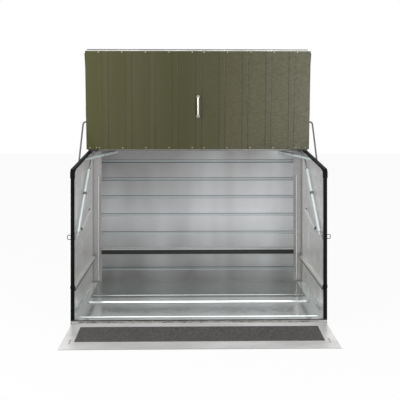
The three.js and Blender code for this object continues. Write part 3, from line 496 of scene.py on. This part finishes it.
def trim_plastic(name):
    """Moulded plastic: a very fine even grain, scuffed a little lighter in patches."""
    finish = Finish(name, (0.004, 0.004, 0.0042), 0.5, 0.0, Specular_IOR_Level=0.05)
    grain = finish.noise(900.0, 2.0)
    scuff = finish.noise(9.0, 5.0) ** 3.0
    black, scuffed = (0.0035, 0.0034, 0.0036), (0.012, 0.012, 0.0125)
    finish.feed("Base Color", finish.mixed((scuff * 1.2).clamped(), black, scuffed))
    finish.feed("Roughness", (0.42 + grain * 0.2).clamped())
    finish.relief(grain, 0.00008)
    return finish


black_trim = trim_plastic("black_trim")
black_trim.onto("front_trim_left", "front_trim_right", "top_trim_left", "top_trim_right",
                "trim_corner_left", "trim_corner_right")


def ring_band(x0, x1, y0, y1, skin):
    """A closed band's section: an outer rectangle with cut corners, open on its rear side."""
    outside = [(x0 - skin, y1), (x0 - skin, y0), (x0, y0 - skin),
               (x1, y0 - skin), (x1 + skin, y0), (x1 + skin, y1)]
    inside = [(x1, y1), (x1, y0), (x0, y0), (x0, y1)]
    return np.array(outside + inside)


trim_sides = ((-0.9622, -0.9358), (0.9358, 0.9622))
trim_face, trim_rear, sleeve_skin = -0.4402, -0.424, 0.0022
sleeve_levels = ((0.281, 0.303), (1.118, 1.1288))
sleeves = []
for x0, x1 in trim_sides:
    for low, high in sleeve_levels:
        section = ring_band(x0, x1, trim_face, trim_rear, sleeve_skin)
        levels = [(0.0, 0.0, z) for z in (low, high)]
        sleeves.append(carried(section, levels, (1.0, 0.0, 0.0), (0.0, 1.0, 0.0)))

# A thicker knuckle follows the trim round the bend at the top of each front post.
bend_x = 0.949
bend_yz = np.array([[-0.4400, 1.108], [-0.4400, 1.1475], [-0.4352, 1.1600],
                    [-0.4240, 1.1693], [-0.4090, 1.1752], [-0.3900, 1.1778]])
bend_line = np.gradient(bend_yz, axis=0)
bend_line /= np.linalg.norm(bend_line, axis=1, keepdims=True)
inwards = np.stack([np.zeros(len(bend_yz)), bend_line[:, 1], -bend_line[:, 0]], axis=1)
for side in (-1, 1):
    path = np.column_stack([np.full(len(bend_yz), side * bend_x), bend_yz])
    knuckle = ring_band(-0.0135, 0.0135, 0.0, 0.016, 0.0034)
    sleeves.append(carried(knuckle, path, (1.0, 0.0, 0.0), inwards))
piece("trim_sleeves", sleeves, "root", black_trim)


# Lid: its hinge, the strip along its front edge, its bearer, and the brackets for the struts.
# Folded zinc and bright aluminium, riveted to the coated sheet. The struts' anchors, the door's
# stiles and the arms' brackets have the same finish.

fitting_zinc = zinc("galvanised_fittings", (0.44, 0.44, 0.435), 0.36, spangle=120.0, wave=0.0002)
fitting_zinc.onto("lid_hinge_fixed", "lid_hinge_moving", "lid_bearer",
                  "lid_bracket_left", "lid_bracket_right",
                  "strut_anchor_left", "strut_anchor_right",
                  "door_stile_left", "door_stile_right",
                  "arm_bracket_left", "arm_bracket_right")
brushed("lid_edge_aluminium", (0.74, 0.76, 0.76), 0.32, along=(8.0, 700.0, 700.0)).onto("lid_edge")


# Struts: a gas spring on each side from the wall to the lid, with a lock collar and end fittings.
# Grey-painted tube, a bright steel rod, and steel fittings pressed on. The anchors are riveted on.

strut_paint = brushed("strut_tube", (0.74, 0.82, 0.83), 0.30,
                      along=(30.0, 200.0, 200.0), metallic=0.4)
strut_paint.onto("strut_cylinder_left", "strut_cylinder_right")
strut_steel = brushed("strut_rod_steel", (0.42, 0.45, 0.50), 0.16, along=(900.0, 300.0, 300.0))
strut_steel.onto("strut_rod_left", "strut_rod_right")
strut_anchor = np.array([0.930, -0.353, 0.650])
strut_line = np.array([0.0, 0.6965627, 0.7174959])


def strut_rings(profile, start):
    """Turned collars round both struts, at a distance from their lower pins."""
    places = mirrored(strut_anchor + strut_line * start)
    return turned(profile, 28, places, strut_line)


lock_collar = [[0.0, 0.0], [0.0132, 0.0], [0.0146, 0.0014], [0.0146, 0.0086], [0.0136, 0.010],
               [0.0136, 0.013], [0.0146, 0.0144], [0.0146, 0.0216], [0.0132, 0.023], [0.0, 0.023]]
end_cap = [[0.0, 0.0], [0.0128, 0.0], [0.0138, 0.0016], [0.0138, 0.0065], [0.0112, 0.0092],
           [0.0075, 0.0105], [0.0, 0.0105]]
socket = [[0.0, 0.0], [0.0095, 0.0], [0.0115, 0.004], [0.0115, 0.020], [0.0128, 0.0215],
          [0.0128, 0.0245], [0.0, 0.0245]]
collar_start, cap_start, socket_start = 0.384, 0.641, 0.0135
piece("strut_collars", [strut_rings(lock_collar, collar_start), strut_rings(end_cap, cap_start)],
      "strut_cylinders", dark_steel)
piece("strut_sockets", [strut_rings(socket, socket_start)],
      "strut_cylinders", fitting_zinc)
anchor_face = 0.9502
anchor_rivets = [(anchor_face, strut_anchor[1] + y, strut_anchor[2] + z)
                 for y in (-0.015, 0.015) for z in (-0.022, 0.022)]
piece("strut_anchor_rivets", turned_in(domed(0.0042, 0.0022), rivet_sides, anchor_rivets),
      "root", rivet_zinc)


# Door: the ribbed panel, the grab handle, the forked hasps, and the catches at its lower corners.
# Aluminium rivets along the top and bottom edges hold the panel to its rails.

door_edge, door_lean = np.array([0.0, 0.1845, 2.126]), math.radians(4.65)


def on_door(x, y, z):
    """Places drawn on the upright door, turned by its lean about its top edge."""
    x, y, z = np.moveaxis(spots(x, y, z), -1, 0)
    c, s = math.cos(door_lean), math.sin(door_lean)
    return door_edge + np.stack([x, y * c - z * s, y * s + z * c], axis=-1)


door_out = (0.0, -math.cos(door_lean), -math.sin(door_lean))
door_across = np.array([1.0, 0.0, 0.0])
door_up = np.array([0.0, -math.sin(door_lean), math.cos(door_lean)])
rivet_first, rivet_face, rivet_heights = 0.051, -0.0448, (-0.840, -0.008)
rivet_x = rivet_first + rib_pitch * np.arange(5)
rivet_x = np.concatenate([rivet_x, -rivet_x])
rivet_light = brushed("rivet_aluminium", (0.46, 0.42, 0.32), 0.34, along=(200.0, 200.0, 200.0))
door_rivets = np.concatenate([on_door(rivet_x, rivet_face, z) for z in rivet_heights])
piece("door_rivets", [turned(domed(0.0052, 0.0027), 18, door_rivets, door_out)],
      "door", rivet_light)

chrome = brushed("handle_chrome", (0.76, 0.74, 0.70), 0.16, along=(900.0, 900.0, 40.0))
chrome.onto("door_handle")
handle_middle, foot_reach, foot_face = -0.478, 0.084, -0.0413
collar = [[0.0, 0.0001], [0.0124, 0.0001], [0.0128, 0.0014], [0.0122, 0.0026], [0.0112, 0.0032],
          [0.0, 0.0032]]
feet = on_door(0.0, foot_face, np.array([handle_middle - foot_reach, handle_middle + foot_reach]))
piece("handle_collars", [turned(collar, 32, feet, door_out)], "door", chrome)

dull_zinc = zinc("dull_steel", (0.13, 0.13, 0.126), 0.42, spangle=150.0, wave=0.0001)
dull_zinc.onto("staple_left", "staple_right", "hasp_left", "hasp_right", "arm_left", "arm_right")
catch_x, catch_face, catch_top, catch_wall = 0.868, -0.0436, -0.822, 0.003
catch = np.array([(0.0, 0.0), (0.092, 0.0), (0.092, -0.036), (0.078, -0.058), (0.060, -0.058),
                  (0.060, -0.040), (0.034, -0.040), (0.034, -0.054), (0.012, -0.054),
                  (0.0, -0.040)])
catches = []
for side in (-1, 1):
    path = on_door(side * catch_x, np.array([catch_face, catch_face + catch_wall]), catch_top)
    catches.append(carried(catch * [side, 1.0], path, door_across, door_up))
catch_black = brushed("catch_steel", (0.030, 0.029, 0.027), 0.42,
                      along=(300.0, 300.0, 300.0), metallic=0.3)
piece("door_catches", catches, "door", catch_black)
catch_rivet_face, catch_rivet_z = -0.0450, -0.838
catch_rivets = on_door(np.array([0.886, 0.942, -0.886, -0.942]), catch_rivet_face, catch_rivet_z)
piece("catch_rivets", [turned(domed(0.0045, 0.0025), 16, catch_rivets, door_out)],
      "door", rivet_light)


# Arms: bent steel rods that carry the door, turning in bossed plates on the walls' outside.
# Zinc-plated rivets hold each plate at its four corners.

plate_out, pivot_y, pivot_z = 0.9628, -0.0607, 0.9916
plate_head = domed(0.0045, 0.0026)
plate_rivets = np.array([(plate_out, pivot_y + y, pivot_z + z)
                         for y in (-0.021, 0.021) for z in (-0.035, 0.035)])
piece("arm_bracket_rivets", [turned(plate_head, 16, plate_rivets, (1.0, 0.0, 0.0)),
                             turned(plate_head, 16, plate_rivets * flip, (-1.0, 0.0, 0.0))],
      "root", rivet_zinc)


# Ramp: a folded aluminium plate with sloping sides, hinged to the front rail, with a slot in each
# side. The mat stuck on it is black rubber covered in hard grit.

hinge_zinc = zinc("ramp_hinge_zinc", (0.36, 0.345, 0.325), 0.40, spangle=150.0, wave=0.0003)
hinge_dirt = (0.050, 0.044, 0.038)
hinge_grime = (hinge_zinc.noise(1.0, 4.0, hinge_zinc.stretched((30.0, 70.0, 70.0))) - 0.46) * 5.0
hinge_zinc.feed("Base Color", hinge_zinc.mixed(hinge_grime.clamped(), hinge_zinc.tone, hinge_dirt))
hinge_zinc.onto("ramp_hinge_moving", "ramp_hinge_fixed")

ramp_metal = brushed("ramp_aluminium", (0.98, 0.965, 0.955), 0.36,
                     along=(6.0, 90.0, 90.0), metallic=0.45)
patch_grey, front_shade_grey, underside_shade_grey = (0.56, 0.55, 0.54), (0.16, 0.155, 0.15), (0.46, 0.46, 0.455)
faces_down, faces_front = -0.5, -0.8
# Broad grey patches lie across the plate.
patches = (ramp_metal.noise(1.0, 3.0, ramp_metal.stretched((2.2, 7.0, 7.0))) - 0.5) * 2.2 + 0.5
patched = ramp_metal.mixed(patches.clamped() * 0.6, ramp_metal.tone, patch_grey)
# Painted shade darkens the faces turned to the front and those turned down.
front_shaded = ramp_metal.mixed(ramp_metal.facing("Y") < faces_front, patched, front_shade_grey)
shaded_plate = ramp_metal.mixed(ramp_metal.facing("Z") < faces_down, front_shaded, underside_shade_grey)

# A short brown mark lies beside the slot on each side. What made it isn't known.
mark_x, mark_y, mark_half_wide, mark_half_long = 0.904, -0.72, 0.006, 0.029
mark_brown = (0.33, 0.18, 0.08)
beside = (ramp_metal.axis("X").absolute() - mark_x).absolute() < mark_half_wide
marked = beside * ((ramp_metal.axis("Y") - mark_y).absolute() < mark_half_long)
ramp_metal.feed("Base Color", ramp_metal.mixed(marked * 0.6, shaded_plate, mark_brown))
ramp_metal.onto("ramp_plate")


def grit(name):
    """Grit: small cells and a finer noise, with scattered paler grains and a dusty cloud."""
    finish = Finish(name, (0.05, 0.048, 0.047), 0.9, 0.0)
    grains = finish.cells(230.0, out=0)
    fine = finish.noise(300.0, 3.0)
    coarse = finish.noise(55.0, 3.0)
    dust = finish.noise(7.0, 4.0)
    pale = (grains * 1.6 * fine).clamped() ** 1.6 + (coarse - 0.5) * 1.5
    rubber, stone = (0.040, 0.038, 0.0375), (0.165, 0.158, 0.154)
    finish.feed("Base Color", finish.mixed((pale * 0.7 + dust * 0.3).clamped(), rubber, stone))
    finish.feed("Roughness", (0.8 + fine * 0.2).clamped())
    finish.relief(grains * 0.6 + fine * 0.4, 0.0012)
    return finish


grit("grip_mat").onto("ramp_mat")


# The studio: a plain white floor and soft light from above, from the front and from both sides.

def seen_white(tree, share):
    """The share of white that camera, glossy and transmission rays see."""
    rays = tree.nodes.new("ShaderNodeLightPath").outputs
    seen = Wire(tree, rays["Is Camera Ray"])
    for name in ("Is Glossy Ray", "Is Transmission Ray"):
        seen = seen.math("MAXIMUM", seen, Wire(tree, rays[name]))
    return seen * share


reach = 14.0
floor_mesh = bpy.data.meshes.new("studio_floor")
corners = [(-reach, -reach, 0.0), (reach, -reach, 0.0), (reach, reach, 0.0), (-reach, reach, 0.0)]
floor_mesh.from_pydata(corners, [], [(0, 1, 2, 3)])
studio_floor = bpy.data.objects.new("studio_floor", floor_mesh)
bpy.context.scene.collection.objects.link(studio_floor)
paper = Finish("studio_paper", (0.97, 0.97, 0.97), 0.9, 0.0, Specular_IOR_Level=0.0)
glow = paper.node("ShaderNodeEmission", Color=(1.0, 1.0, 1.0, 1.0))
blend = paper.tree.nodes.new("ShaderNodeMixShader")
paper.tree.links.new(seen_white(paper.tree, 0.93).socket, blend.inputs[0])
paper.tree.links.new(paper.shader.outputs[0], blend.inputs[1])
paper.tree.links.new(glow.socket, blend.inputs[2])
paper.tree.links.new(blend.outputs[0], paper.tree.nodes["Material Output"].inputs[0])
studio_floor.data.materials.append(paper.material)

world = bpy.data.worlds.new("studio")
bpy.context.scene.world = world
world.use_nodes = True
sky = world.node_tree
sky_light = sky.nodes["Background"]
sky_light.inputs["Color"].default_value = (1.0, 1.0, 1.0, 1.0)
sky_level = 0.42
sky.links.new((seen_white(sky, 1.0 - sky_level) + sky_level).socket, sky_light.inputs["Strength"])

for name, place, aim, size, power in (
        ("light_above", (0.2, -2.2, 4.4), (0.0, 0.0, 0.9), 3.6, 52.0),
        ("light_right", (2.9, -4.2, 1.0), (0.6, 0.2, 1.4), 1.7, 75.0),
        ("light_left", (-4.0, -3.2, 2.2), (0.3, 0.0, 0.9), 2.5, 130.0)):
    lamp = bpy.data.lights.new(name, "AREA")
    lamp.shape = "SQUARE"
    lamp.size = size
    lamp.energy = power
    holder = bpy.data.objects.new(name, lamp)
    bpy.context.scene.collection.objects.link(holder)
    away = np.array(place) - np.array(aim)
    holder.location = place
    tilt = math.acos(away[2] / np.linalg.norm(away))
    holder.rotation_euler = (tilt, 0.0, math.atan2(away[1], away[0]) + math.pi / 2)

eye = bpy.data.cameras.new("camera")
eye.sensor_width = 36.0
eye.lens = 46.6
eye.shift_x = 0.006
eye.shift_y = -0.2315
camera = bpy.data.objects.new("camera", eye)
camera.location = (-0.065, -4.321, 1.638)
camera.rotation_euler = (math.radians(90.0), 0.0, math.radians(-0.77))
bpy.context.scene.collection.objects.link(camera)
bpy.context.scene.camera = camera
bpy.context.scene.view_settings.view_transform = "Standard"
